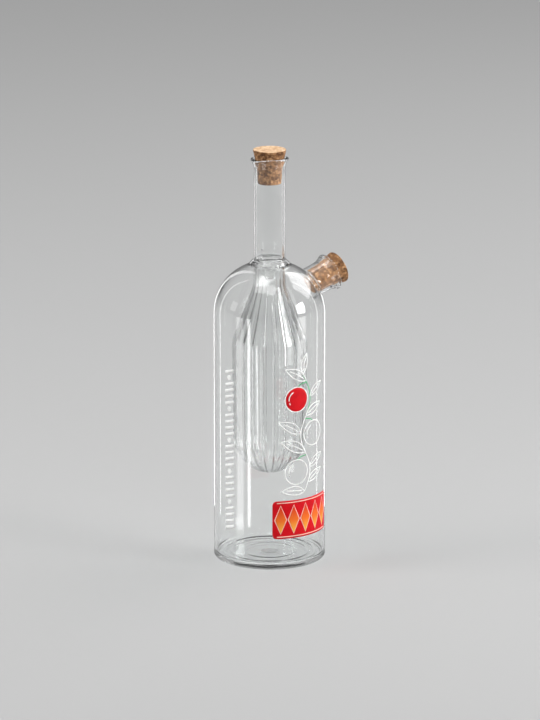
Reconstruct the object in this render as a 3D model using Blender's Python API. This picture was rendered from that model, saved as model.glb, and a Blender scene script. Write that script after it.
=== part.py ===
# Oil and vinegar bottle of clear blown glass: an outer vessel with a side spout for the oil, and a
# fluted inner vessel for the vinegar that hangs from the neck. A tapered cork closes each mouth.
# Metres, +Z up. The origin is the centre of the flat underside, and +X points the way the spout does.

import math

import bmesh
import bpy
from mathutils import Matrix, Vector

# Outer vessel
BODY_RADIUS = 0.0375
BODY_WALL = 0.0020
FLOOR_THICKNESS = 0.0030
HEEL_RADIUS = 0.0020
CHAMBER_CORNER = 0.0025
SHOULDER_Z = 0.1665
SHOULDER_HEIGHT = 0.0366
SHOULDER_SQUARENESS = 2.15
FLOOR_NUB_RADIUS = 0.0080
FLOOR_NUB_HEIGHT = 0.0012

# Neck, the bead that fuses it to the shoulder, and the flared lip
NECK_RADIUS = 0.0104
NECK_BORE = 0.0088
BEAD_Z = 0.2014
BEAD_RADIUS = 0.0116
BEAD_ROUND = 0.0014
BEAD_FOOT = -35
BEAD_TOP = 40
BEAD_STEP = 0.0011
NECK_FOOT_Z = 0.2052
NECK_TOP_Z = 0.2744
LIP_RADIUS = 0.0127
LIP_ROUND = 0.0013
LIP_FLARE = 0.0076
LIP_CURL = 1.6
LIP_STEPS = (0.0, 0.35, 0.65, 0.85)

# Inner vessel, with the plug that reaches up into the neck's glass and fuses the two
FLUTES = 20
FLUTE_TURN = math.radians(10.5)
FLUTE_DEPTH = 0.0009
FLUTE_WAIST_SHARE = 0.05
FLUTE_CONE_SHARE = 0.2
INNER_WALL = 0.0014
PLUG_TOP_Z = 0.2064
PLUG_INSET = 0.0003
INNER_TOP_Z = 0.1870
INNER_WAIST_RADIUS = 0.0110
INNER_WAIST_Z = 0.1848
INNER_CONE_RADIUS = 0.0123
INNER_CONE_Z = 0.1816
INNER_SHOULDER_RADIUS = 0.0230
INNER_SHOULDER_Z = 0.1525
INNER_TURN_RADIUS = 0.0240
INNER_TURN_Z = 0.1490
INNER_RADIUS = 0.0243
INNER_STRAIGHT_TOP_Z = 0.1460
INNER_STRAIGHT_LOW_Z = 0.0850
INNER_LOW_RADIUS = 0.0234
INNER_BOTTOM_Z = 0.0580
INNER_BOTTOM_ANGLES = (20, 38, 55, 70, 82)

# Side spout: its axis leaves the bottle's axis at a height and rises outwards
SPOUT_AXIS_Z = 0.1729
SPOUT_RISE = math.radians(19)
SPOUT_TOP = 0.0520
SPOUT_START = 0.0300

# Corks, both of one size
CORK_LENGTH = 0.0230
CORK_FOOT_RADIUS = 0.0079
CORK_HEAD_RADIUS = 0.0111
CORK_EDGE = 0.0007
NECK_CORK_PROUD = 0.0050
SPOUT_CORK_PROUD = 0.0067
CORK_GAP = 0.0003

# Sides of the turned shapes. The inner vessel has three points to a flute
BODY_SIDES = 48
TUBE_SIDES = 36
FLUTED_SIDES = 3 * FLUTES
SHARP_ANGLE = math.radians(35)
CUT_PAST = 0.0040


def clear_scene():
    for obj in list(bpy.data.objects):
        bpy.data.objects.remove(obj)


def make_material(name, colour, roughness, transmission=0.0):
    material = bpy.data.materials.new(name)
    material.use_nodes = True
    shader = material.node_tree.nodes["Principled BSDF"]
    shader.inputs["Base Color"].default_value = (*colour, 1.0)
    shader.inputs["Roughness"].default_value = roughness
    shader.inputs["Metallic"].default_value = 0.0
    shader.inputs["Transmission Weight"].default_value = transmission
    shader.inputs["IOR"].default_value = 1.47 if transmission else 1.45
    return material


def arc(centre_r, centre_z, radius, start, end, steps):
    """Points of a circular arc in the (radius, height) plane, angles in degrees from outwards."""
    points = []
    for i in range(steps + 1):
        angle = math.radians(start + (end - start) * i / steps)
        points.append((centre_r + radius * math.cos(angle), centre_z + radius * math.sin(angle)))
    return points


def shoulder(radius, height, stop_radius, steps):
    """The rounded shoulder, a little squarer than a dome, from the straight wall in to a radius."""
    power = 2 / SHOULDER_SQUARENESS
    last = math.acos((stop_radius / radius) ** (1 / power))
    points = []
    for i in range(1, steps + 1):
        angle = last * i / steps
        r = radius * math.cos(angle) ** power
        z = SHOULDER_Z + height * math.sin(angle) ** power
        points.append((r, z))
    return points


def lip(top_z):
    """Outer side of a mouth: the tube flares out over its last millimetres to a round rim."""
    flare_z = top_z - LIP_FLARE
    rim_r = LIP_RADIUS - LIP_ROUND
    rim_z = top_z - LIP_ROUND
    points = []
    for step in LIP_STEPS:
        points.append((NECK_RADIUS + (LIP_RADIUS - NECK_RADIUS) * step ** LIP_CURL,
                       flare_z + (rim_z - flare_z) * step))
    return points + arc(rim_r, rim_z, LIP_ROUND, 0, 90, 3)


def cork_radius(height):
    """Radius of a cork above its foot: squeezed where the tube grips it, wider where the lip flares."""
    grip_radius = NECK_BORE - CORK_GAP
    grip_height = CORK_LENGTH - NECK_CORK_PROUD - LIP_FLARE
    if height < grip_height:
        return CORK_FOOT_RADIUS + (grip_radius - CORK_FOOT_RADIUS) * height / grip_height
    above = (height - grip_height) / (CORK_LENGTH - grip_height)
    return grip_radius + (CORK_HEAD_RADIUS - grip_radius) * above


def mouth_bore(top_z, proud):
    """Inner side of a mouth, from above the rim down to the straight bore, just clear of its cork."""
    foot_z = top_z + proud - CORK_LENGTH
    points = [(cork_radius(CORK_LENGTH) + CORK_GAP, top_z + proud)]
    grip_z = top_z - LIP_FLARE + (proud - NECK_CORK_PROUD)
    for i in range(4):
        z = top_z + (grip_z - top_z) * i / 3
        points.append((cork_radius(z - foot_z) + CORK_GAP, z))
    return points


def inner_profile(shrink):
    """Outline of the inner vessel from its neck to its round bottom, as (radius, height, flute share)."""
    points = [
        (NECK_RADIUS - shrink, INNER_TOP_Z, 0.0),
        (INNER_WAIST_RADIUS - shrink, INNER_WAIST_Z, FLUTE_WAIST_SHARE),
        (INNER_CONE_RADIUS - shrink, INNER_CONE_Z, FLUTE_CONE_SHARE),
    ]
    for step in (0.25, 0.5, 0.75):
        points.append((INNER_CONE_RADIUS + (INNER_SHOULDER_RADIUS - INNER_CONE_RADIUS) * step - shrink,
                       INNER_CONE_Z + (INNER_SHOULDER_Z - INNER_CONE_Z) * step,
                       FLUTE_CONE_SHARE + (1.0 - FLUTE_CONE_SHARE) * step))
    points.append((INNER_SHOULDER_RADIUS - shrink, INNER_SHOULDER_Z, 1.0))
    points.append((INNER_TURN_RADIUS - shrink, INNER_TURN_Z, 1.0))
    points.append((INNER_RADIUS - shrink, INNER_STRAIGHT_TOP_Z, 1.0))
    points.append((INNER_LOW_RADIUS - shrink, INNER_STRAIGHT_LOW_Z, 1.0))
    low_r = INNER_LOW_RADIUS - shrink
    low_height = INNER_STRAIGHT_LOW_Z - INNER_BOTTOM_Z - shrink
    for angle in INNER_BOTTOM_ANGLES:
        turn = math.radians(angle)
        points.append((low_r * math.cos(turn), INNER_STRAIGHT_LOW_Z - low_height * math.sin(turn),
                       math.cos(turn)))
    points.append((0.0, INNER_STRAIGHT_LOW_Z - low_height, 0.0))
    return points


def turned(name, profile, sides, flutes=0):
    """A closed solid turned about Z. A profile point is (radius, height) or adds its share of the flutes."""
    shape = bmesh.new()
    rings = []
    for point in profile:
        radius, height = point[0], point[1]
        share = point[2] if len(point) > 2 else 0.0
        if radius == 0.0:
            rings.append([shape.verts.new((0.0, 0.0, height))])
            continue
        ring = []
        for i in range(sides):
            angle = 2 * math.pi * i / sides
            ridge = math.cos(flutes * (angle - FLUTE_TURN)) if flutes else 0.0
            r = radius + 0.5 * FLUTE_DEPTH * share * ridge
            ring.append(shape.verts.new((r * math.cos(angle), r * math.sin(angle), height)))
        rings.append(ring)
    for first, second in zip(rings, rings[1:]):
        for i in range(sides):
            j = (i + 1) % sides
            if len(first) == 1:
                shape.faces.new((first[0], second[i], second[j]))
            elif len(second) == 1:
                shape.faces.new((first[i], second[0], first[j]))
            else:
                shape.faces.new((first[i], second[i], second[j], first[j]))
    for ring in (rings[0], rings[-1]):
        if len(ring) > 1:
            shape.faces.new(ring)
    bmesh.ops.recalc_face_normals(shape, faces=shape.faces)
    mesh = bpy.data.meshes.new(name)
    shape.to_mesh(mesh)
    shape.free()
    mesh.shade_smooth()
    mesh.set_sharp_from_angle(angle=SHARP_ANGLE)
    obj = bpy.data.objects.new(name, mesh)
    bpy.context.collection.objects.link(obj)
    return obj


def spout_frame():
    """Turns +Z to the spout's axis and puts the origin where that axis leaves the bottle's."""
    turn = Matrix.Rotation(math.radians(90) - SPOUT_RISE, 4, Vector((0, 1, 0)))
    return Matrix.Translation((0, 0, SPOUT_AXIS_Z)) @ turn


def helper(obj):
    obj.hide_render = True
    obj.display_type = "WIRE"
    return obj


def boolean(target, operation, other):
    modifier = target.modifiers.new(f"{operation.title()} {other.name}", "BOOLEAN")
    modifier.operation = operation
    modifier.solver = "EXACT"
    modifier.object = helper(other)


def outer_blank():
    """The outer vessel, bead, neck and lip as one solid, before they are hollowed."""
    heel_r = BODY_RADIUS - HEEL_RADIUS
    profile = [(0.0, 0.0)]
    profile += arc(heel_r, HEEL_RADIUS, HEEL_RADIUS, -90, 0, 4)
    profile.append((BODY_RADIUS, SHOULDER_Z))
    foot_r = BEAD_RADIUS + BEAD_ROUND * math.cos(math.radians(BEAD_FOOT))
    profile += shoulder(BODY_RADIUS, SHOULDER_HEIGHT, foot_r + BEAD_STEP, 12)
    profile += arc(BEAD_RADIUS, BEAD_Z, BEAD_ROUND, BEAD_FOOT, BEAD_TOP, 4)
    profile.append((NECK_RADIUS, NECK_FOOT_Z))
    profile += lip(NECK_TOP_Z)
    profile.append((0.0, NECK_TOP_Z))
    return turned("glass_bottle", profile, BODY_SIDES)


def outer_hollow():
    """The space inside the outer vessel: a floor with a low nub at its centre, and a domed top."""
    radius = BODY_RADIUS - BODY_WALL
    corner = CHAMBER_CORNER
    profile = [(0.0, FLOOR_THICKNESS + FLOOR_NUB_HEIGHT)]
    profile.append((0.5 * FLOOR_NUB_RADIUS, FLOOR_THICKNESS + 0.5 * FLOOR_NUB_HEIGHT))
    profile.append((FLOOR_NUB_RADIUS, FLOOR_THICKNESS))
    profile += arc(radius - corner, FLOOR_THICKNESS + corner, corner, -90, 0, 3)
    profile.append((radius, SHOULDER_Z))
    profile += shoulder(radius, SHOULDER_HEIGHT - BODY_WALL, 0.5 * NECK_RADIUS, 12)
    profile.append((0.0, SHOULDER_Z + SHOULDER_HEIGHT - BODY_WALL))
    return turned("outer_hollow", profile, BODY_SIDES)


def inner_blank():
    """The fluted inner vessel as one solid, with a plug that reaches up into the neck's glass."""
    plug = [(0.0, PLUG_TOP_Z, 0.0), (NECK_RADIUS - PLUG_INSET, PLUG_TOP_Z, 0.0)]
    return turned("inner_blank", plug + inner_profile(0.0), FLUTED_SIDES, FLUTES)


def inner_hollow():
    """The space inside the neck and the inner vessel."""
    top = mouth_bore(NECK_TOP_Z, NECK_CORK_PROUD)
    profile = [(0.0, top[0][1], 0.0)] + [(r, z, 0.0) for r, z in top]
    profile.append((NECK_BORE, INNER_TOP_Z, 0.0))
    profile += inner_profile(INNER_WALL)[1:]
    return turned("inner_hollow", profile, FLUTED_SIDES, FLUTES)


def spout_blank():
    profile = [(0.0, SPOUT_START), (NECK_RADIUS, SPOUT_START)] + lip(SPOUT_TOP)
    profile.append((0.0, SPOUT_TOP))
    blank = turned("spout_blank", profile, TUBE_SIDES)
    blank.matrix_world = spout_frame()
    return blank


def spout_hollow():
    top = mouth_bore(SPOUT_TOP, SPOUT_CORK_PROUD)
    profile = [(0.0, top[0][1])] + top
    profile.append((NECK_BORE, SPOUT_START - CUT_PAST))
    profile.append((0.0, SPOUT_START - CUT_PAST))
    hollow = turned("spout_hollow", profile, TUBE_SIDES)
    hollow.matrix_world = spout_frame()
    return hollow


def make_glass(material):
    """Blown in stages: the vessel with its spout is hollowed, then the inner vessel is fused in."""
    glass = outer_blank()
    boolean(glass, "UNION", spout_blank())
    boolean(glass, "DIFFERENCE", outer_hollow())
    boolean(glass, "DIFFERENCE", spout_hollow())
    boolean(glass, "UNION", inner_blank())
    boolean(glass, "DIFFERENCE", inner_hollow())
    glass.data.materials.append(material)
    return glass


def make_cork(name, frame, top, proud, material):
    """A tapered cork, squeezed where the tube grips it, with a small round edge at each end."""
    profile = [(0.0, 0.0), (CORK_FOOT_RADIUS - CORK_EDGE, 0.0), (CORK_FOOT_RADIUS, CORK_EDGE)]
    grip_height = CORK_LENGTH - NECK_CORK_PROUD - LIP_FLARE
    for height in (0.5 * grip_height, grip_height, CORK_LENGTH - CORK_EDGE):
        profile.append((cork_radius(height), height))
    profile.append((CORK_HEAD_RADIUS - CORK_EDGE, CORK_LENGTH))
    profile.append((0.0, CORK_LENGTH))
    cork = turned(name, profile, TUBE_SIDES)
    cork.matrix_world = frame @ Matrix.Translation((0, 0, top + proud - CORK_LENGTH))
    cork.data.materials.append(material)
    return cork


def main():
    clear_scene()
    glass = make_material("clear_glass", (0.93, 0.95, 0.95), 0.02, transmission=1.0)
    cork = make_material("pressed_cork", (0.55, 0.34, 0.19), 0.85)
    make_glass(glass)
    make_cork("neck_cork", Matrix.Identity(4), NECK_TOP_Z, NECK_CORK_PROUD, cork)
    make_cork("spout_cork", spout_frame(), SPOUT_TOP, SPOUT_CORK_PROUD, cork)


main()
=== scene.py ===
# Oil and vinegar bottle: two chambers of clear blown glass in one piece, a print on its wall and a pressed
# cork in each mouth. It stands on a plain pale floor under soft studio light. Metres, +Z up, and +X points
# the way the side spout does.

import math

import bmesh
import bpy
from mathutils import Matrix, Vector, noise


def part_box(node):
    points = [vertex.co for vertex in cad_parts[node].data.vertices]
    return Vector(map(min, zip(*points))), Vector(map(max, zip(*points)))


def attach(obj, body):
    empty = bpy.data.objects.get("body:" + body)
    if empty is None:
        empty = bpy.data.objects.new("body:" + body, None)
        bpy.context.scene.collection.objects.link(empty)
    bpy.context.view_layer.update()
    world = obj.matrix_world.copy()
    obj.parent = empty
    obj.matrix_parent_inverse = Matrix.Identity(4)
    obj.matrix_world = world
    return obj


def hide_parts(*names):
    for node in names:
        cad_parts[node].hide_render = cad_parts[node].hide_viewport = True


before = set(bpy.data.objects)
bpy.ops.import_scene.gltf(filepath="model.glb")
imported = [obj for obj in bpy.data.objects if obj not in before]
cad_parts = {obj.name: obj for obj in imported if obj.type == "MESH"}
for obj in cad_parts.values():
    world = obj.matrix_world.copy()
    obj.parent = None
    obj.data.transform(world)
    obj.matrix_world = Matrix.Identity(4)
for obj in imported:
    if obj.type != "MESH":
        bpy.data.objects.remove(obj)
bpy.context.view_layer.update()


# The glass is borosilicate tube worked at the lamp. The shoulder is drawn in and fused to the neck at a thick
# bead, the neck's tube goes on inside as the fluted vinegar vessel, and the side spout is fused to the
# shoulder with a fillet. Every edge is fire-polished, so the whole is one smooth closed skin.

glass_low, glass_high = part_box("glass_bottle")
BODY_RADIUS = -glass_low[0]
BODY_WALL = 0.0020
HEEL_RADIUS = 0.0020
CHAMBER_CORNER = 0.0025
SHOULDER_Z = 0.1665
SHOULDER_HEIGHT = 0.0366
SHOULDER_SQUARENESS = 2.15
TUBE_RADIUS = 0.0104
TUBE_BORE = 0.0088
BEAD_Z = 0.2018
BEAD_RADIUS = 0.0115
BEAD_ROUND = 0.0017
BEAD_FOOT = -55
BEAD_TOP = 38
BEAD_STEP = 0.0012
NECK_FOOT_Z = 0.2056
BORE_WAIST = 0.0007
BORE_WAIST_REACH = 0.0016
BORE_WAIST_SPAN = 2.4
BORE_WAIST_ROWS = 11
RIM_Z = glass_high[2]
LIP_RADIUS = 0.0127
LIP_FLARE = 0.0076
LIP_CURL = 1.6
LIP_ROWS = 9
RIM_STEPS = 12
LIP_SINK = 0.0014
LIP_HIGH_TURN = math.radians(-108)
LIP_SAG = 0.0008
LIP_SAG_TURN = math.radians(-163)
LIP_SAG_REACH = math.radians(22)
LIP_WAVE = 0.0001

FLOOR_Z = 0.0030
FLOOR_NUB_RADIUS = 0.0080
FLOOR_NUB_HEIGHT = 0.0012
FLOOR_RINGS = ((0.0170, 0.00022), (0.0255, 0.00035), (0.0305, 0.00040))
FLOOR_RING_WIDTH = 0.0009
FLOOR_ROWS = 36

FLUTES = 20
FLUTE_DEPTH = 0.0014
FLUTE_INNER_DEPTH = 0.0005
FLUTE_SHARPNESS = 8
FLUTE_MIDDLE = 0.20
FLUTE_GATHER = 0.70
FLUTE_TOP_Z = 0.1990
FLUTE_NECK_SHARE = 0.35
FLUTE_TURN = math.radians(10.5)
INNER_WALL = 0.0014
INNER_NECK_Z = 0.1868
INNER_SHOULDER_Z = 0.1490
INNER_RADIUS = 0.0243
INNER_LOW_Z = 0.0850
INNER_LOW_RADIUS = 0.0234
INNER_BOTTOM_Z = 0.0580
INNER_BEND = 0.0045
INNER_POLE_ROWS = 22
INNER_MARGIN = 0.0010
BEAD_MARGIN = 0.00045
JOINT_FILLET = 0.0014

BUBBLE_TURN = math.radians(-154)
BUBBLES = ((0.2131, 0.00050), (0.2102, 0.00042))

SPOUT_AXIS_Z = 0.1729
SPOUT_RISE = math.radians(19)
SPOUT_RIM = 0.0520
SPOUT_HOLE = 0.0124
SPOUT_INNER_HOLE = 0.0103
SPOUT_FILLET = 0.0022
SPOUT_REACH = (0.015, 0.060)
SPOUT_SIDE = 0.020
SPOUT_ROWS = 7
FILLET_SHARE = 0.6

CORK_LENGTH = 0.0230
CORK_FOOT_RADIUS = 0.0079
CORK_HEAD_RADIUS = 0.0111
CORK_GRIP_HEIGHT = 0.0104
NECK_CORK_PROUD = 0.0050
SPOUT_CORK_PROUD = 0.0067
CORK_GAP = 0.0003

GLASS_STEPS = 13 * FLUTES
ROW_HEIGHT = 0.0014
INNER_ROW_HEIGHT = 0.0022
FLAT_ROW_HEIGHT = 0.0050
WALL_ROW_HEIGHT = 0.0280
CORNER_STEPS = 10
FILLET_STEPS = 6
SHOULDER_STEPS = 28
HALVINGS = 40


def arc(centre_r, centre_z, radius, start, end, steps):
    """A round stretch of an outline as (radius, height) points, its angles in degrees from outwards."""
    angles = [math.radians(start + (end - start) * i / steps) for i in range(steps + 1)]
    return [(centre_r + radius * math.cos(a), centre_z + radius * math.sin(a)) for a in angles]


def straight(start, end, row):
    """The points after start on a straight stretch of an outline, no further apart than a row, to end."""
    count = max(1, math.ceil(math.dist(start, end) / row))
    return [tuple(a + (b - a) * i / count for a, b in zip(start, end)) for i in range(1, count + 1)]


def rounded(before, corner, after, cut, steps):
    """A corner of an outline, rounded off from one cut length before it to one cut length after it."""
    before, corner, after = Vector(before), Vector(corner), Vector(after)
    start = corner + (before - corner).normalized() * cut
    end = corner + (after - corner).normalized() * cut
    points = []
    for i in range(steps + 1):
        t = i / steps
        points.append(tuple(start * (1 - t) ** 2 + corner * 2 * t * (1 - t) + end * t * t))
    return points


def shoulder(radius, height, stop_radius, steps):
    """The rounded shoulder, a little squarer than a dome, from the straight wall in to a radius."""
    power = 2 / SHOULDER_SQUARENESS
    last = math.acos((stop_radius / radius) ** (1 / power))
    angles = [last * i / steps for i in range(1, steps + 1)]
    return [
        (radius * math.cos(a) ** power, SHOULDER_Z + height * math.sin(a) ** power) for a in angles
    ]


def cork_radius(height):
    """Radius of a cork above its foot: squeezed where the tube grips it, wider where the lip flares."""
    grip_radius = TUBE_BORE - CORK_GAP
    if height < CORK_GRIP_HEIGHT:
        share = height / CORK_GRIP_HEIGHT
        return CORK_FOOT_RADIUS + (grip_radius - CORK_FOOT_RADIUS) * share
    share = (height - CORK_GRIP_HEIGHT) / (CORK_LENGTH - CORK_GRIP_HEIGHT)
    return grip_radius + (CORK_HEAD_RADIUS - grip_radius) * share


def mouth(top, proud):
    """A flared lip, its round rim and the cork's seat inside it, as (radius, height along the tube)."""
    seat_radius = cork_radius(CORK_LENGTH - proud) + CORK_GAP
    rim_round = (LIP_RADIUS - seat_radius) / 2
    rim_foot = top - rim_round
    points = []
    for i in range(LIP_ROWS):
        step = i / LIP_ROWS
        points.append((TUBE_RADIUS + (LIP_RADIUS - TUBE_RADIUS) * step ** LIP_CURL,
                       top - LIP_FLARE + (LIP_FLARE - rim_round) * step))
    points += arc(LIP_RADIUS - rim_round, rim_foot, rim_round, 0, 180, RIM_STEPS)
    seat_foot = (TUBE_BORE, top + proud - CORK_LENGTH + CORK_GRIP_HEIGHT)
    return points + straight(points[-1], seat_foot, ROW_HEIGHT)


def inner_outline(shrink):
    """The inner vessel from its neck down to its round bottom, moved inwards by its wall or not."""
    neck = TUBE_RADIUS - shrink
    top = (neck, RIM_Z)
    waist = (neck, INNER_NECK_Z)
    wide = (INNER_RADIUS - shrink, INNER_SHOULDER_Z)
    low = (INNER_LOW_RADIUS - shrink, INNER_LOW_Z)
    points = rounded(top, waist, wide, INNER_BEND, FILLET_STEPS)
    hip = rounded(waist, wide, low, INNER_BEND, 8)
    points += straight(points[-1], hip[0], INNER_ROW_HEIGHT) + hip[1:]
    points += straight(points[-1], low, 3 * INNER_ROW_HEIGHT)
    depth = INNER_LOW_Z - INNER_BOTTOM_Z - shrink
    for i in range(1, INNER_POLE_ROWS + 1):
        turn = math.radians(90 * i / INNER_POLE_ROWS)
        points.append((low[0] * max(math.cos(turn), 0.0), INNER_LOW_Z - depth * math.sin(turn)))
    return points


def bore_waist():
    """The bore behind the bead, from above to below: the joint draws it in a little."""
    rows = range(-BORE_WAIST_ROWS, BORE_WAIST_ROWS + 1)
    offs = [BORE_WAIST_SPAN * i / BORE_WAIST_ROWS for i in rows]
    return [(TUBE_BORE - BORE_WAIST * math.exp(-off * off), BEAD_Z - BORE_WAIST_REACH * off) for off in offs]


def floor_height(radius):
    """The inside of the floor: a low nub at its centre and the faint rings that spinning leaves."""
    height = FLOOR_Z
    if radius < FLOOR_NUB_RADIUS:
        height += FLOOR_NUB_HEIGHT * (0.5 + 0.5 * math.cos(math.pi * radius / FLOOR_NUB_RADIUS))
    for ring_radius, ring_height in FLOOR_RINGS:
        height += ring_height * math.exp(-((radius - ring_radius) / FLOOR_RING_WIDTH) ** 2)
    return height


def spin_outline(shape, outline, steps):
    """Turns an outline of (radius, height) points once round the bottle's axis."""
    verts = [shape.verts.new((radius, 0, height)) for radius, height in outline]
    edges = [shape.edges.new(pair) for pair in zip(verts, verts[1:])]
    bmesh.ops.spin(shape, geom=verts + edges, cent=(0, 0, 0), axis=(0, 0, 1), dvec=(0, 0, 0),
                   angle=2 * math.pi, steps=steps, use_merge=True)
    bmesh.ops.remove_doubles(shape, verts=shape.verts, dist=1e-6)


def outer_skin(shape):
    """The outside from the underside up to the rim, and on down the bore and the inside of the vessel."""
    heel_radius = BODY_RADIUS - HEEL_RADIUS
    outline = [(0.0, 0.0)]
    outline += straight(outline[-1], (heel_radius, 0.0), FLAT_ROW_HEIGHT)
    outline += arc(heel_radius, HEEL_RADIUS, HEEL_RADIUS, -90, 0, CORNER_STEPS)[1:]
    outline += straight(outline[-1], (BODY_RADIUS, SHOULDER_Z), WALL_ROW_HEIGHT)
    bead_foot_radius = BEAD_RADIUS + BEAD_ROUND * math.cos(math.radians(BEAD_FOOT))
    outline += shoulder(BODY_RADIUS, SHOULDER_HEIGHT, bead_foot_radius + BEAD_STEP, SHOULDER_STEPS)
    outline += arc(BEAD_RADIUS, BEAD_Z, BEAD_ROUND, BEAD_FOOT, BEAD_TOP, CORNER_STEPS)
    neck_foot = (TUBE_RADIUS, NECK_FOOT_Z)
    lip_foot = (TUBE_RADIUS, RIM_Z - LIP_FLARE)
    outline += rounded(outline[-1], neck_foot, lip_foot, BEAD_STEP, FILLET_STEPS)
    outline += straight(outline[-1], lip_foot, WALL_ROW_HEIGHT)[:-1]
    outline += mouth(RIM_Z, NECK_CORK_PROUD)
    inner = inner_outline(INNER_WALL)
    waist = bore_waist()
    outline += straight(outline[-1], waist[0], WALL_ROW_HEIGHT) + waist[1:]
    outline += straight(outline[-1], inner[0], FLAT_ROW_HEIGHT)[:-1] + inner
    spin_outline(shape, outline, GLASS_STEPS)


def chamber_skin(shape):
    """The oil chamber's inside: its floor, wall and domed top, and down the outside of the inner vessel."""
    wall_radius = BODY_RADIUS - BODY_WALL
    flat_radius = wall_radius - CHAMBER_CORNER
    floor_radii = [flat_radius * i / FLOOR_ROWS for i in range(FLOOR_ROWS)]
    outline = [(radius, floor_height(radius)) for radius in floor_radii]
    outline += arc(flat_radius, FLOOR_Z + CHAMBER_CORNER, CHAMBER_CORNER, -90, 0, CORNER_STEPS)
    outline += straight(outline[-1], (wall_radius, SHOULDER_Z), WALL_ROW_HEIGHT)
    outline += shoulder(wall_radius, SHOULDER_HEIGHT - BODY_WALL, TUBE_RADIUS + JOINT_FILLET,
                        SHOULDER_STEPS - 1)
    inner = inner_outline(0.0)
    joint_z = outline[-1][1] - JOINT_FILLET
    outline += arc(TUBE_RADIUS + JOINT_FILLET, joint_z, JOINT_FILLET, 100, 180, FILLET_STEPS)
    outline += straight(outline[-1], inner[0], ROW_HEIGHT)[:-1] + inner
    spin_outline(shape, outline, GLASS_STEPS)


def flute_share(height):
    """How deep the flutes are at a height of the inner vessel. They fade out in its neck and at its pole."""
    if height >= INNER_NECK_Z:
        return FLUTE_NECK_SHARE * (FLUTE_TOP_Z - height) / (FLUTE_TOP_Z - INNER_NECK_Z)
    if height >= INNER_LOW_Z:
        grown = min(1.0, (INNER_NECK_Z - height) / (INNER_NECK_Z - INNER_SHOULDER_Z))
        return FLUTE_NECK_SHARE + (1 - FLUTE_NECK_SHARE) * grown
    sunk = (INNER_LOW_Z - height) / (INNER_LOW_Z - INNER_BOTTOM_Z)
    return math.sqrt(max(0.0, 1 - sunk * sunk))


def reach_inner(height):
    """A radius just outside the inner vessel, so that nothing further out is pressed into flutes."""
    return TUBE_RADIUS + BEAD_MARGIN if height > INNER_NECK_Z else INNER_RADIUS + INNER_MARGIN


def press_flutes(shape, depth):
    """Draws the inner vessel's wall into narrow ridges, where its points gather, with broad hollows."""
    for vert in shape.verts:
        x, y, z = vert.co
        radius = math.hypot(x, y)
        if not INNER_BOTTOM_Z < z < FLUTE_TOP_Z or not 0.0001 < radius < reach_inner(z):
            continue
        share = flute_share(z)
        turn = math.atan2(y, x)
        turn -= FLUTE_GATHER * share * math.sin(FLUTES * (turn - FLUTE_TURN)) / FLUTES
        crest = (0.5 + 0.5 * math.cos(FLUTES * (turn - FLUTE_TURN))) ** FLUTE_SHARPNESS
        radius += depth * share * (crest - FLUTE_MIDDLE)
        vert.co = (radius * math.cos(turn), radius * math.sin(turn), z)


def tilt_lip(shape):
    """The neck's lip was flared by hand: it sinks towards the back, sags at one place and is faintly wavy."""
    for vert in shape.verts:
        x, y, z = vert.co
        step = min(1.0, max(0.0, (z - RIM_Z) / LIP_FLARE + 1.0))
        turn = math.atan2(y, x)
        sink = LIP_SINK * (0.5 - 0.5 * math.cos(turn - LIP_HIGH_TURN))
        sag = LIP_SAG * math.exp(-(math.remainder(turn - LIP_SAG_TURN, 2 * math.pi) / LIP_SAG_REACH) ** 2)
        wave = LIP_WAVE * (1 + math.sin(3 * turn))
        vert.co.z = z - (sink + sag + wave) * step * step * (3 - 2 * step)


def trap_bubbles(shape):
    """Two tiny bubbles in the wall at the foot of the neck. Their faces point inwards, to the air."""
    middle = 0.5 * (TUBE_RADIUS + TUBE_BORE)
    for height, radius in BUBBLES:
        place = (middle * math.cos(BUBBLE_TURN), middle * math.sin(BUBBLE_TURN), height)
        verts = bmesh.ops.create_icosphere(shape, subdivisions=3, radius=radius,
                                           matrix=Matrix.Translation(place))["verts"]
        bmesh.ops.reverse_faces(shape, faces=list({face for vert in verts for face in vert.link_faces}))


SPOUT = Matrix.Translation((0, 0, SPOUT_AXIS_Z)) @ Matrix.Rotation(math.radians(90) - SPOUT_RISE, 4, "Y")


def spout_place(turn, offset, along):
    """A place beside the spout's axis: round it, out from it and along it from the bottle's axis."""
    return SPOUT @ Vector((offset * math.cos(turn), offset * math.sin(turn), along))


def reach_dome(radius, height, turn, offset):
    """How far along the spout's axis a line beside it comes out of the shoulder's surface."""
    low, high = SPOUT_REACH
    for _ in range(HALVINGS):
        middle = (low + high) / 2
        x, y, z = spout_place(turn, offset, middle)
        rise = max(z - SHOULDER_Z, 0) / height
        if (math.hypot(x, y) / radius) ** SHOULDER_SQUARENESS + rise ** SHOULDER_SQUARENESS < 1:
            low = middle
        else:
            high = middle
    return low


def ring_of(edges):
    """The vertices of one closed ring of edges, in order."""
    edges = set(edges)
    first = next(iter(edges)).verts[0]
    ring = [first]
    while True:
        step = next((e for e in ring[-1].link_edges if e in edges), None)
        if step is None:
            return ring
        edges.remove(step)
        following = step.other_vert(ring[-1])
        if following is first:
            return ring
        ring.append(following)


def grow_ring(shape, ring, places):
    """Extrudes a ring of vertices once and puts each new vertex at its place."""
    edges = [shape.edges.get(pair) for pair in zip(ring, ring[1:] + ring[:1])]
    made = bmesh.ops.extrude_edge_only(shape, edges=edges)["geom"]
    made = {item for item in made if isinstance(item, bmesh.types.BMVert)}
    grown = []
    for old, place in zip(ring, places):
        new = next(e.other_vert(old) for e in old.link_edges if e.other_vert(old) in made)
        new.co = place
        grown.append(new)
    return grown


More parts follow.
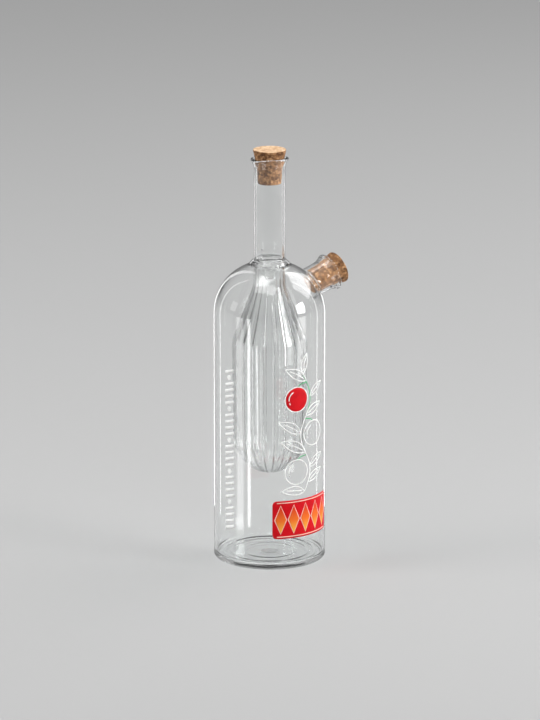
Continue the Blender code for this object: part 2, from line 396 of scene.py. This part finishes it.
def open_dome(shape, radius, height, hole, tube, fillet, end):
    """Cuts the spout's hole in a dome and draws its edge out over a fillet to a tube's straight end."""
    to_spout = SPOUT.inverted()
    near = []
    for vert in shape.verts:
        place = to_spout @ vert.co
        if place.z > SPOUT_SIDE and math.hypot(place.x, place.y) < hole + 0.4 * ROW_HEIGHT:
            near.append(vert)
    bmesh.ops.delete(shape, geom=near, context="VERTS")
    bmesh.ops.subdivide_edges(shape, edges=[edge for edge in shape.edges if edge.is_boundary], cuts=1)
    ring = ring_of(edge for edge in shape.edges if edge.is_boundary)
    turns = []
    for vert in ring:
        place = to_spout @ vert.co
        turns.append(math.atan2(place.y, place.x))
    sense = 1 if (turns[1] - turns[0] + math.pi) % (2 * math.pi) > math.pi else -1
    evenly = [turns[0] + sense * 2 * math.pi * i / len(ring) for i in range(len(ring))]
    shift = sum(math.remainder(a - b, 2 * math.pi) for a, b in zip(turns, evenly)) / len(ring)
    for vert, turn in zip(ring, turns):
        vert.co = spout_place(turn, hole, reach_dome(radius, height, turn, hole))

    def turn_at(i, share):
        """A point's turn round the spout, moved by a share of the way to even spacing."""
        return turns[i] + math.remainder(evenly[i] + shift - turns[i], 2 * math.pi) * share

    for row in range(1, SPOUT_ROWS + 1):
        t = row / SPOUT_ROWS
        places = []
        for i in range(len(ring)):
            turn = turn_at(i, FILLET_SHARE * t)
            offset = hole * (1 - t) ** 2 + tube * (2 * t * (1 - t) + t * t)
            along = reach_dome(radius, height, turn, hole) * (1 - t) ** 2
            along += reach_dome(radius, height, turn, tube) * (2 * t * (1 - t) + t * t) + fillet * t * t
            places.append(spout_place(turn, offset, along))
        ring = grow_ring(shape, ring, places)
    foot = [reach_dome(radius, height, turn_at(i, FILLET_SHARE), tube) + fillet for i in range(len(ring))]
    for row in range(1, SPOUT_ROWS + 1):
        t = row / SPOUT_ROWS
        places = []
        for i in range(len(ring)):
            along = foot[i] + (end - foot[i]) * t
            places.append(spout_place(turn_at(i, FILLET_SHARE + (1 - FILLET_SHARE) * t), tube, along))
        ring = grow_ring(shape, ring, places)
    return ring, [turn_at(i, 1.0) for i in range(len(ring))]


def new_object(name, shape):
    """A smooth-shaded object of its own from a finished shape."""
    mesh = bpy.data.meshes.new(name)
    shape.to_mesh(mesh)
    shape.free()
    mesh.shade_smooth()
    obj = bpy.data.objects.new(name, mesh)
    bpy.context.collection.objects.link(obj)
    return obj


def new_material(name, **values):
    """A material and its Principled shader, with plain values given by the sockets' names."""
    material = bpy.data.materials.new(name)
    material.use_nodes = True
    shader = material.node_tree.nodes["Principled BSDF"]
    for socket, value in values.items():
        shader.inputs[socket.replace("_", " ")].default_value = value
    return material, shader


CLEAR_TINT = (0.985, 0.992, 0.990, 1)
SHADOW_TINT = (0.94, 0.95, 0.95, 1)
GLASS_WAVES = (26, 26, 9)
GLASS_WAVE_DEPTH = 0.0006


def blown_glass():
    """Clear glass with the faint waviness of lamp work. Lamps shine through it, only a little dimmed."""
    material, shader = new_material("clear_blown_glass", Base_Color=CLEAR_TINT, Roughness=0.0, IOR=1.47,
                                    Transmission_Weight=1.0)
    nodes, links = material.node_tree.nodes, material.node_tree.links
    place = nodes.new("ShaderNodeTexCoord")
    stretch = nodes.new("ShaderNodeMapping")
    stretch.inputs["Scale"].default_value = GLASS_WAVES
    waves = nodes.new("ShaderNodeTexNoise")
    waves.inputs["Scale"].default_value = 1.0
    waves.inputs["Detail"].default_value = 1.0
    bump = nodes.new("ShaderNodeBump")
    bump.inputs["Strength"].default_value = 0.35
    bump.inputs["Distance"].default_value = GLASS_WAVE_DEPTH
    links.new(place.outputs["Object"], stretch.inputs["Vector"])
    links.new(stretch.outputs["Vector"], waves.inputs["Vector"])
    links.new(waves.outputs["Fac"], bump.inputs["Height"])
    links.new(bump.outputs["Normal"], shader.inputs["Normal"])
    path = nodes.new("ShaderNodeLightPath")
    clear = nodes.new("ShaderNodeBsdfTransparent")
    clear.inputs["Color"].default_value = SHADOW_TINT
    mix = nodes.new("ShaderNodeMixShader")
    links.new(path.outputs["Is Shadow Ray"], mix.inputs[0])
    links.new(shader.outputs[0], mix.inputs[1])
    links.new(clear.outputs[0], mix.inputs[2])
    links.new(mix.outputs[0], nodes["Material Output"].inputs["Surface"])
    return material


glass = bmesh.new()
outer_skin(glass)
press_flutes(glass, FLUTE_INNER_DEPTH)
tilt_lip(glass)
spout_mouth = mouth(SPOUT_RIM, SPOUT_CORK_PROUD)
ring, turns = open_dome(glass, BODY_RADIUS, SHOULDER_HEIGHT, SPOUT_HOLE, TUBE_RADIUS, SPOUT_FILLET,
                        spout_mouth[0][1])
for offset, along in spout_mouth[1:]:
    ring = grow_ring(glass, ring, [spout_place(turn, offset, along) for turn in turns])
chamber = bmesh.new()
chamber_skin(chamber)
press_flutes(chamber, FLUTE_DEPTH)
open_dome(chamber, BODY_RADIUS - BODY_WALL, SHOULDER_HEIGHT - BODY_WALL, SPOUT_INNER_HOLE, TUBE_BORE,
          SPOUT_FILLET, spout_mouth[-1][1] - ROW_HEIGHT)
chamber_mesh = bpy.data.meshes.new("oil_chamber")
chamber.to_mesh(chamber_mesh)
chamber.free()
glass.from_mesh(chamber_mesh)
bpy.data.meshes.remove(chamber_mesh)
bmesh.ops.bridge_loops(glass, edges=[edge for edge in glass.edges if edge.is_boundary])
bmesh.ops.recalc_face_normals(glass, faces=glass.faces)
trap_bubbles(glass)
bottle = new_object("blown_glass", glass)
bottle.data.materials.append(blown_glass())
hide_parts("glass_bottle")
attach(bottle, "root")


# The corks are pressed from ground cork: granules of a millimetre or two, glued under pressure, turned to a
# taper and sanded flat at the head. The neck squeezes each one a little where it grips.

CORK_EDGE = 0.0009
CORK_WAIST = 0.0025
CORK_STEPS = 180
CORK_ROW = 0.00035
GRANULE = 0.0016
GRANULE_SEAM = 0.00012
SEAM_REACH = 0.28
CORK_PITS = 0.00016
PIT_SIZE = 0.0011
PIT_LEVEL = 0.25
SANDED_SHARE = 0.25
LIT_HEAD_DEPTH = 0.0002


def cork_outline():
    """A cork from the middle of its foot, up its side and over its edge to the middle of its head."""
    foot_edge = (CORK_FOOT_RADIUS, 0.0)
    head_edge = (CORK_HEAD_RADIUS, CORK_LENGTH)
    grip = (cork_radius(CORK_GRIP_HEIGHT), CORK_GRIP_HEIGHT)
    outline = [(0.0, 0.0)]
    outline += straight(outline[-1], (CORK_FOOT_RADIUS - CORK_EDGE, 0.0), 2 * CORK_ROW)[:-1]
    outline += rounded((0.0, 0.0), foot_edge, grip, CORK_EDGE, 5)
    waist = rounded(foot_edge, grip, head_edge, CORK_WAIST, FILLET_STEPS)
    outline += straight(outline[-1], waist[0], CORK_ROW) + waist[1:]
    crown = rounded(grip, head_edge, (0.0, CORK_LENGTH), CORK_EDGE, FILLET_STEPS)
    outline += straight(outline[-1], crown[0], CORK_ROW) + crown[1:]
    return outline + straight(outline[-1], (0.0, CORK_LENGTH), 2 * CORK_ROW)


def roughen_cork(shape, seed):
    """Sinks the seams between the granules and a few pits. The sanded head keeps only faint ones."""
    shape.normal_update()
    moved = {}
    for vert in shape.verts:
        near = noise.voronoi(vert.co / GRANULE + seed)[0]
        seam = max(0.0, 1 - (near[1] - near[0]) / SEAM_REACH)
        pit = max(0.0, noise.noise(vert.co / PIT_SIZE + 2 * seed) - PIT_LEVEL)
        soft = SANDED_SHARE if vert.co.z > CORK_LENGTH - 1e-5 else 1.0
        moved[vert] = vert.co - vert.normal * soft * (GRANULE_SEAM * seam * seam + CORK_PITS * pit)
    for vert, place in moved.items():
        vert.co = place


def pressed_cork(name, dark, middle, light, crumb):
    """Granules of several browns with dark seams between them, under a fine grain."""
    material, shader = new_material(name, Roughness=0.82, Specular_IOR_Level=0.3)
    nodes, links = material.node_tree.nodes, material.node_tree.links
    place = nodes.new("ShaderNodeTexCoord")
    granules = nodes.new("ShaderNodeTexVoronoi")
    granules.inputs["Scale"].default_value = 1 / GRANULE
    seams = nodes.new("ShaderNodeTexVoronoi")
    seams.feature = "DISTANCE_TO_EDGE"
    seams.inputs["Scale"].default_value = 1 / GRANULE
    grain = nodes.new("ShaderNodeTexNoise")
    grain.inputs["Scale"].default_value = 1500
    grain.inputs["Detail"].default_value = 4
    tones = nodes.new("ShaderNodeValToRGB")
    tones.color_ramp.elements[0].color = (*dark, 1)
    tones.color_ramp.elements[1].color = (*light, 1)
    tones.color_ramp.elements.new(0.45).color = (*middle, 1)
    cell = nodes.new("ShaderNodeSeparateColor")
    gaps = nodes.new("ShaderNodeMapRange")
    gaps.inputs["From Max"].default_value = 0.09
    gaps.inputs["To Min"].default_value = crumb
    shade = nodes.new("ShaderNodeMix")
    shade.data_type = "RGBA"
    shade.blend_type = "MULTIPLY"
    shade.inputs["Factor"].default_value = 1.0
    speckle = nodes.new("ShaderNodeMix")
    speckle.data_type = "RGBA"
    speckle.blend_type = "OVERLAY"
    speckle.inputs["Factor"].default_value = 0.45
    bump = nodes.new("ShaderNodeBump")
    bump.inputs["Strength"].default_value = 0.6
    bump.inputs["Distance"].default_value = 0.00015
    for texture in (granules, seams, grain):
        links.new(place.outputs["Object"], texture.inputs["Vector"])
    links.new(granules.outputs["Color"], cell.inputs["Color"])
    links.new(cell.outputs["Red"], tones.inputs["Fac"])
    links.new(seams.outputs["Distance"], gaps.inputs["Value"])
    links.new(tones.outputs["Color"], shade.inputs["A"])
    links.new(gaps.outputs["Result"], shade.inputs["B"])
    links.new(shade.outputs["Result"], speckle.inputs["A"])
    links.new(grain.outputs["Fac"], speckle.inputs["B"])
    links.new(speckle.outputs["Result"], shader.inputs["Base Color"])
    links.new(grain.outputs["Fac"], bump.inputs["Height"])
    links.new(bump.outputs["Normal"], shader.inputs["Normal"])
    return material


# Two copies of one cork material: the side's is painted darker, with darker seams, as painted shade; the
# head's is painted lighter, as painted light falling on the top.
SHADED_SIDE_TONES = ((0.105, 0.042, 0.015), (0.25, 0.115, 0.044), (0.46, 0.25, 0.115))
SHADED_SIDE_CRUMB = 0.40
LIT_HEAD_TONES = ((0.44, 0.25, 0.13), (0.60, 0.39, 0.225), (0.70, 0.50, 0.32))
LIT_HEAD_CRUMB = 0.70
shaded_cork_side = pressed_cork("pressed_cork", *SHADED_SIDE_TONES, SHADED_SIDE_CRUMB)
lit_cork_head = pressed_cork("painted_lit_cork_head", *LIT_HEAD_TONES, LIT_HEAD_CRUMB)
for name, node, seat, top, proud, seed in (
    ("turned_neck_cork", "neck_cork", Matrix.Identity(4), RIM_Z, NECK_CORK_PROUD, Vector((3.1, 0.4, 7.7))),
    ("turned_spout_cork", "spout_cork", SPOUT, SPOUT_RIM, SPOUT_CORK_PROUD, Vector((9.2, 5.8, 1.3))),
):
    cork = bmesh.new()
    spin_outline(cork, cork_outline(), CORK_STEPS)
    bmesh.ops.recalc_face_normals(cork, faces=cork.faces)
    roughen_cork(cork, seed)
    for face in cork.faces:
        # The flat head's faces take the copy painted lighter, as lit from above; the rest take the copy
        # painted darker, as in shade.
        face.material_index = int(face.calc_center_median().z > CORK_LENGTH - LIT_HEAD_DEPTH)
    bmesh.ops.transform(cork, matrix=seat @ Matrix.Translation((0, 0, top + proud - CORK_LENGTH)),
                        verts=cork.verts)
    piece = new_object(name, cork)
    piece.data.materials.append(shaded_cork_side)
    piece.data.materials.append(lit_cork_head)
    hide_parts(node)
    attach(piece, "root")


# The print is ceramic ink, screened on the outside of the body and fired. It stands a few hundredths of a
# millimetre off the glass. On the front a sprig with three round fruits climbs over a panel of lozenges,
# and a column of slanted dashes and dots runs up the side.

INK_LIFT = 0.00004
INK_THICKNESS = 0.00006
SECOND_PULL = INK_LIFT + INK_THICKNESS
LOZENGE_PULL = INK_LIFT + 1.3 * INK_THICKNESS
OUTLINE_PULL = INK_LIFT + 2.4 * INK_THICKNESS
LINE_WIDTH = 0.0007
FRONT_TURN = math.radians(-84)
SIDE_TURN = math.radians(-169)

STEM_LOW_Z = 0.0530
STEM_TOP_Z = 0.1340
STEM_SWAY = 0.0040
STEM_WAVE = 0.0500
STEM_GREEN_Z = 0.1080
FRUIT_RADIUS = 0.0085
FRUIT_SIDE = 0.0070
FRUIT_HEIGHTS = (0.0670, 0.0920, 0.1170)
GLINT_RADIUS = 0.68 * FRUIT_RADIUS
GLINTS = ((115, 185), (200, 212))
STALK_FOOT = 0.94 * FRUIT_RADIUS
STALK_BEND = 0.0022
STALK_HEIGHT = 0.0030
LEAF_WIDTH = 0.17
LEAF_BOW = 0.16
LEAF_TIP = 0.85
RIB_START = 0.12
RIB_END = 0.80

PANEL_LOW_Z = 0.0216
PANEL_HIGH_Z = 0.0479
PANEL_WIDTH = 0.0480
PANEL_CORNER = 0.0030
PANEL_LINE_EDGE = 0.0014
PANEL_LINE_END = 0.0030
LOZENGES = 5
LOZENGE_WIDTH = 0.0078
LOZENGE_HEIGHT = 0.0190
LOZENGE_STEP = PANEL_WIDTH / LOZENGES * 0.96
LOZENGE_EDGE = (0.0002, 0.0004)

MARKS = 26
MARK_GROUP = 5
MARK_LOW_Z = 0.0270
MARK_STEP = 0.0043
MARK_LENGTH = 0.0078
MARK_WIDTH = 0.0022
MARK_SLANT = 0.28
DOT_RADIUS = 0.8 * MARK_WIDTH


def wrap(mesh, turn, lift):
    """Bends a flat drawing, x along the wall and y up it, round the body and lifts it off the glass."""
    for vert in mesh.vertices:
        x, y, z = vert.co
        angle = turn + x / BODY_RADIUS
        radius = BODY_RADIUS + lift + z
        vert.co = (radius * math.cos(angle), radius * math.sin(angle), y)


def ink(name, colour):
    """Fired ink: a soft gloss, and a colour that varies a little with the thickness of the film."""
    material, shader = new_material(name, Roughness=0.5, Specular_IOR_Level=0.1)
    nodes, links = material.node_tree.nodes, material.node_tree.links
    place = nodes.new("ShaderNodeTexCoord")
    film = nodes.new("ShaderNodeTexNoise")
    film.inputs["Scale"].default_value = 260
    film.inputs["Detail"].default_value = 3
    tint = nodes.new("ShaderNodeValToRGB")
    tint.color_ramp.elements[0].color = (*(0.86 * part for part in colour), 1)
    tint.color_ramp.elements[1].color = (*colour, 1)
    tint.color_ramp.elements[0].position = 0.35
    tint.color_ramp.elements[1].position = 0.55
    bump = nodes.new("ShaderNodeBump")
    bump.inputs["Strength"].default_value = 0.3
    bump.inputs["Distance"].default_value = 0.00002
    links.new(place.outputs["Object"], film.inputs["Vector"])
    links.new(film.outputs["Fac"], tint.inputs["Fac"])
    links.new(tint.outputs["Color"], shader.inputs["Base Color"])
    links.new(film.outputs["Fac"], bump.inputs["Height"])
    links.new(bump.outputs["Normal"], shader.inputs["Normal"])
    return material


def blended_ink():
    """The lozenges' ink, screened in one pull from yellow at the foot over orange to red at the head."""
    material, shader = new_material("blended_ink", Roughness=0.5, Specular_IOR_Level=0.1)
    nodes, links = material.node_tree.nodes, material.node_tree.links
    place = nodes.new("ShaderNodeTexCoord")
    parts = nodes.new("ShaderNodeSeparateXYZ")
    height = nodes.new("ShaderNodeMapRange")
    middle = (PANEL_LOW_Z + PANEL_HIGH_Z) / 2
    height.inputs["From Min"].default_value = middle - LOZENGE_HEIGHT / 2
    height.inputs["From Max"].default_value = middle + LOZENGE_HEIGHT / 2
    blend = nodes.new("ShaderNodeValToRGB")
    blend.color_ramp.elements[0].color = (0.86, 0.46, 0.07, 1)
    blend.color_ramp.elements[1].color = (0.60, 0.02, 0.012, 1)
    blend.color_ramp.elements.new(0.45).color = (0.78, 0.16, 0.02, 1)
    links.new(place.outputs["Object"], parts.inputs["Vector"])
    links.new(parts.outputs["Z"], height.inputs["Value"])
    links.new(height.outputs["Result"], blend.inputs["Fac"])
    links.new(blend.outputs["Color"], shader.inputs["Base Color"])
    return material


def flat_print(name, shape, turn, material, lift=INK_LIFT):
    """A filled area of ink: flat faces wrapped round the body and given the film's thickness."""
    bmesh.ops.recalc_face_normals(shape, faces=shape.faces)
    for face in shape.faces:
        if face.normal.z < 0:
            face.normal_flip()
    piece = new_object(name, shape)
    wrap(piece.data, turn, lift)
    film = piece.modifiers.new("Film", "SOLIDIFY")
    film.thickness = INK_THICKNESS
    film.offset = 1
    piece.data.materials.append(material)
    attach(piece, "root")
    return piece


def line_print(name, strokes, turn, material, lift=INK_LIFT):
    """Drawn lines of ink: a flattened bead of paint along each stroke of (x, y) points."""
    curve = bpy.data.curves.new(name, "CURVE")
    curve.dimensions = "3D"
    curve.bevel_depth = LINE_WIDTH / 2
    curve.bevel_resolution = 1
    curve.use_fill_caps = True
    for points, closed in strokes:
        spline = curve.splines.new("POLY")
        spline.points.add(len(points) - 1)
        for point, (x, y) in zip(spline.points, points):
            point.co = (x, y, 0, 1)
        spline.use_cyclic_u = closed
    drawn = bpy.data.objects.new(name, curve)
    bpy.context.collection.objects.link(drawn)
    mesh = bpy.data.meshes.new_from_object(drawn.evaluated_get(bpy.context.evaluated_depsgraph_get()))
    bpy.data.objects.remove(drawn)
    mesh.transform(Matrix.Diagonal((1, 1, INK_THICKNESS / LINE_WIDTH, 1)))
    wrap(mesh, turn, lift + INK_THICKNESS / 2)
    mesh.shade_smooth()
    piece = bpy.data.objects.new(name, mesh)
    bpy.context.collection.objects.link(piece)
    mesh.materials.clear()
    mesh.materials.append(material)
    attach(piece, "root")
    return piece


def stem_x(z):
    """How far to the side the swaying stem is at a height."""
    return STEM_SWAY * math.cos(2 * math.pi * (z - FRUIT_HEIGHTS[0]) / STEM_WAVE)


def stem_line(low, high):
    """The stem's stroke between two heights, as its points and whether it closes."""
    rows = 24
    heights = [low + (high - low) * i / rows for i in range(rows + 1)]
    return [(stem_x(z), z) for z in heights], False


def leaf_lines(x, z, lean, length):
    """A slender leaf from the stem: both edges in one closed line, and a midrib that stops short."""
    rows = 14
    along = [i / rows for i in range(rows + 1)]
    width = LEAF_WIDTH * length
    bow = LEAF_BOW * length * math.copysign(1, math.cos(lean))
    spine = Matrix.Translation((x, z, 0)) @ Matrix.Rotation(lean, 4, "Z")

    def place(step, side):
        swell = width * math.sin(math.pi * step ** LEAF_TIP)
        x, y, _ = spine @ Vector((length * step, side * swell + bow * step * (1 - step), 0))
        return x, y

    edge = [place(s, 1) for s in along] + [place(s, -1) for s in reversed(along[1:-1])]
    return [(edge, True), ([place(s, 0) for s in along if RIB_START < s < RIB_END], False)]


def round_line(x, z, radius, start=0.0, end=360.0):
    """The stroke of a circle or of a part of one, from one angle to another in degrees."""
    rows = max(8, round((end - start) / 9))
    angles = [math.radians(start + (end - start) * i / rows) for i in range(rows + 1)]
    closed = end - start >= 360
    if closed:
        angles.pop()
    return [(x + radius * math.cos(a), z + radius * math.sin(a)) for a in angles], closed


def disc(shape, x, z, radius):
    """A filled round of ink, in rings so that it can follow the wall's curve."""
    rings = 5
    verts = [shape.verts.new((x + radius * i / rings, z, 0)) for i in range(rings + 1)]
    edges = [shape.edges.new(pair) for pair in zip(verts, verts[1:])]
    bmesh.ops.spin(shape, geom=verts + edges, cent=(x, z, 0), axis=(0, 0, 1), dvec=(0, 0, 0),
                   angle=2 * math.pi, steps=40, use_merge=True)
    bmesh.ops.remove_doubles(shape, verts=shape.verts, dist=1e-6)


white_ink = ink("white_ink", (0.92, 0.92, 0.91))
red_ink = ink("red_ink", (0.60, 0.004, 0.010))
green_ink = ink("green_ink", (0.10, 0.42, 0.19))
pink_ink = ink("pale_pink_ink", (0.93, 0.55, 0.47))

fruit_places = [(math.copysign(FRUIT_SIDE, -stem_x(z)), z) for z in FRUIT_HEIGHTS]
white_strokes = [stem_line(STEM_LOW_Z, STEM_GREEN_Z)]
for x, z in fruit_places:
    white_strokes.append(round_line(x, z, FRUIT_RADIUS))
    for start, end in GLINTS:
        white_strokes.append(round_line(x, z, GLINT_RADIUS, start, end))
for z, lean, length in (
    (0.0530, 176, 0.0175), (0.0590, 26, 0.0160), (0.0690, 30, 0.0150), (0.0800, 155, 0.0205),
    (0.0930, 150, 0.0185), (0.1050, 25, 0.0165), (0.1180, 32, 0.0145), (0.1290, 150, 0.0185),
    (STEM_TOP_Z, 78, 0.0140),
):
    white_strokes += leaf_lines(stem_x(z), z, math.radians(lean), length)
line_print("sprig_lines", white_strokes, FRONT_TURN, white_ink, SECOND_PULL)

green_strokes = [stem_line(STEM_GREEN_Z, STEM_TOP_Z)]
for x, z in fruit_places:
    crown = z + STALK_FOOT
    meeting = crown + STALK_HEIGHT
    green_strokes.append(([(x, crown), (0.6 * x, crown + STALK_BEND), (stem_x(meeting), meeting)], False))
line_print("sprig_stem", green_strokes, FRONT_TURN, green_ink)

fruit = bmesh.new()
disc(fruit, *fruit_places[-1], FRUIT_RADIUS)
flat_print("red_fruit", fruit, FRONT_TURN, red_ink)

panel = bmesh.new()
bmesh.ops.create_grid(panel, x_segments=60, y_segments=36, size=0.5)
panel_height = PANEL_HIGH_Z - PANEL_LOW_Z
panel_middle = (PANEL_HIGH_Z + PANEL_LOW_Z) / 2
for vert in panel.verts:
    x, y = vert.co.x * PANEL_WIDTH, vert.co.y * panel_height
    over_x = abs(x) - (PANEL_WIDTH / 2 - PANEL_CORNER)
    over_y = abs(y) - (panel_height / 2 - PANEL_CORNER)
    if over_x > 0 and over_y > 0:
        pull = max(over_x, over_y) / math.hypot(over_x, over_y)
        x -= math.copysign(over_x * (1 - pull), x)
        y -= math.copysign(over_y * (1 - pull), y)
    vert.co = (x, y + panel_middle, 0)
flat_print("panel", panel, FRONT_TURN, red_ink)

lozenges = bmesh.new()
lozenge_xs = [(i - (LOZENGES - 1) / 2) * LOZENGE_STEP for i in range(LOZENGES)]
for x in lozenge_xs:
    grid = bmesh.ops.create_grid(lozenges, x_segments=8, y_segments=16, size=0.5)["verts"]
    for vert in grid:
        share = 1 - 2 * abs(vert.co.y)
        vert.co = (x + vert.co.x * LOZENGE_WIDTH * share, vert.co.y * LOZENGE_HEIGHT + panel_middle, 0)
bmesh.ops.remove_doubles(lozenges, verts=lozenges.verts, dist=1e-6)
flat_print("lozenges", lozenges, FRONT_TURN, blended_ink(), LOZENGE_PULL)

pink_strokes = []
for x in lozenge_xs:
    half_width = LOZENGE_WIDTH / 2 + LOZENGE_EDGE[0]
    half_height = LOZENGE_HEIGHT / 2 + LOZENGE_EDGE[1]
    corners = ((half_width, 0), (0, half_height), (-half_width, 0), (0, -half_height))
    points = [(x + a, panel_middle + b) for a, b in corners]
    pink_strokes.append((points, True))
for y in (PANEL_LOW_Z + PANEL_LINE_EDGE, PANEL_HIGH_Z - PANEL_LINE_EDGE):
    reach = PANEL_WIDTH / 2 - PANEL_LINE_END
    pink_strokes.append(([(-reach + 2 * reach * i / 30, y) for i in range(31)], False))
line_print("lozenge_lines", pink_strokes, FRONT_TURN, pink_ink, OUTLINE_PULL)

marks = bmesh.new()
for i in range(MARKS):
    z = MARK_LOW_Z + i * MARK_STEP
    if i % MARK_GROUP == MARK_GROUP - 1:
        disc(marks, 0, z, DOT_RADIUS)
        continue
    for vert in bmesh.ops.create_grid(marks, x_segments=8, y_segments=2, size=0.5)["verts"]:
        x = vert.co.x * MARK_LENGTH
        vert.co = (x, z + vert.co.y * MARK_WIDTH + x * MARK_SLANT, 0)
flat_print("side_marks", marks, SIDE_TURN, white_ink)


# The floor, the light and the camera. The camera has a long lens and stands where the photograph's did:
# fifteen degrees above the horizon, with the spout a third of a right angle behind the picture's plane.

CAMERA_TURN = math.radians(-123.5)
CAMERA_RISE = math.radians(15)
CAMERA_DISTANCE = 3.0
CAMERA_LENS = 224.6
CAMERA_SENSOR = 36.0
AIM_Z = 0.13535
AIM_SIDE = 0.00027
FLOOR_GAP = 0.0002
FLOOR_GREY = (0.37, 0.37, 0.37, 1)
HORIZON_LIGHT = 0.12
ZENITH_LIGHT = 1.00
SOFT_EDGE = 0.35


def direction(turn, rise):
    """A unit vector at an angle to the right of the camera's side of the bottle, and above the horizon."""
    angle = CAMERA_TURN + turn
    return Vector((math.cos(angle) * math.cos(rise), math.sin(angle) * math.cos(rise), math.sin(rise)))


def softbox(name, turn, rise, distance, size, strength, aim_z, seen="everywhere", spread=180):
    """A lit rectangle that faces the bottle. It is seen everywhere, in the glass only, on the glass's outer
    side only, or not in the glass at all. A spread below 180 degrees is a grid on it, which keeps its light
    off the floor around it; its power is cut to keep the middle as bright.
    """
    light = bpy.data.lights.new(name, "AREA")
    light.shape = "RECTANGLE"
    light.size, light.size_y = size
    light.spread = math.radians(spread)
    grid = 1 - 0.5 * light.spread / math.tan(0.5 * light.spread)
    light.energy = strength * size[0] * size[1] * math.pi * grid
    lamp = bpy.data.objects.new(name, light)
    bpy.context.collection.objects.link(lamp)
    away = direction(math.radians(turn), math.radians(rise))
    lamp.location = Vector((0, 0, aim_z)) + away * distance
    lamp.rotation_euler = away.to_track_quat("Z", "Y").to_euler()
    lamp.visible_camera = False
    lamp.visible_diffuse = seen in ("everywhere", "not in glass")
    lamp.visible_glossy = seen in ("everywhere", "in glass", "outer side")
    lamp.visible_transmission = seen in ("everywhere", "in glass")
    return light


def soften(light):
    """Fades a lit rectangle towards its edges, as a softbox's cloth does."""
    light.use_nodes = True
    nodes, links = light.node_tree.nodes, light.node_tree.links
    place = nodes.new("ShaderNodeNewGeometry")
    parts = nodes.new("ShaderNodeSeparateXYZ")
    links.new(place.outputs["Parametric"], parts.inputs["Vector"])
    both = nodes.new("ShaderNodeMath")
    both.operation = "MULTIPLY"
    for i, axis in enumerate("XY"):
        off = nodes.new("ShaderNodeMath")
        off.operation = "PINGPONG"
        off.inputs[1].default_value = 0.5
        fade = nodes.new("ShaderNodeMapRange")
        fade.interpolation_type = "SMOOTHSTEP"
        fade.inputs["From Max"].default_value = SOFT_EDGE
        links.new(parts.outputs[axis], off.inputs[0])
        links.new(off.outputs[0], fade.inputs["Value"])
        links.new(fade.outputs["Result"], both.inputs[i])
    links.new(both.outputs[0], nodes["Emission"].inputs["Strength"])


floor_shape = bmesh.new()
bmesh.ops.create_grid(floor_shape, x_segments=1, y_segments=1, size=15,
                      matrix=Matrix.Translation((0, 0, -FLOOR_GAP)))
floor = new_object("floor", floor_shape)
pale_floor, _ = new_material("pale_floor", Base_Color=FLOOR_GREY, Roughness=0.9, Specular_IOR_Level=0.0)
floor.data.materials.append(pale_floor)

world = bpy.data.worlds.new("studio")
world.use_nodes = True
sky = world.node_tree.nodes
sky_place = sky.new("ShaderNodeTexCoord")
sky_parts = sky.new("ShaderNodeSeparateXYZ")
sky_light = sky.new("ShaderNodeMapRange")
sky_light.inputs["To Min"].default_value = HORIZON_LIGHT
sky_light.inputs["To Max"].default_value = ZENITH_LIGHT
sky["Background"].inputs["Color"].default_value = (1, 1, 1, 1)
world.node_tree.links.new(sky_place.outputs["Generated"], sky_parts.inputs["Vector"])
world.node_tree.links.new(sky_parts.outputs["Z"], sky_light.inputs["Value"])
world.node_tree.links.new(sky_light.outputs["Result"], sky["Background"].inputs["Strength"])
bpy.context.scene.world = world

softbox("key_right", 122, 38, 1.90, (1.60, 1.20), 3.4, 0.17)
softbox("overhead", -20, 70, 2.40, (1.60, 1.00), 3.0, 0.15)
softbox("window_right", 70, 13, 1.60, (0.52, 0.52), 28.0, 0.178, spread=70)
softbox("window_left", -82, 30, 2.40, (1.00, 1.00), 9.0, 0.140, "not in glass")
softbox("glow_left", -82, 13, 1.50, (0.40, 0.40), 2.5, 0.178, "outer side")
soften(softbox("top_glow", -115, 81, 1.20, (0.90, 0.66), 6.5, 0.190, "in glass"))
softbox("strip_right", 61, 0, 0.13, (0.040, 0.065), 3.4, 0.1375, "in glass")
softbox("strip_left", -55.6, 0, 0.13, (0.032, 0.17), 2.6, 0.085, "in glass")
softbox("thin_left", -37.6, 0, 0.13, (0.0125, 0.17), 7.0, 0.085, "in glass")
softbox("edge_right", 100, 0, 0.13, (0.008, 0.40), 4.0, 0.20, "outer side")
softbox("edge_left", -108, 0, 0.13, (0.008, 0.40), 4.0, 0.20, "outer side")
softbox("back_right", 140, 0, 0.13, (0.020, 0.40), 2.5, 0.20, "outer side")
softbox("back_left", -145, 0, 0.13, (0.020, 0.40), 2.5, 0.20, "outer side")

camera_data = bpy.data.cameras.new("camera")
camera_data.sensor_fit = "VERTICAL"
camera_data.sensor_height = CAMERA_SENSOR
camera_data.lens = CAMERA_LENS
camera = bpy.data.objects.new("camera", camera_data)
bpy.context.collection.objects.link(camera)
toward = direction(0, CAMERA_RISE)
sideways = direction(math.radians(90), 0)
camera.location = Vector((0, 0, AIM_Z)) + sideways * AIM_SIDE + toward * CAMERA_DISTANCE
camera.rotation_euler = toward.to_track_quat("Z", "Y").to_euler()
bpy.context.scene.camera = camera
bpy.context.scene.view_settings.view_transform = "Standard"
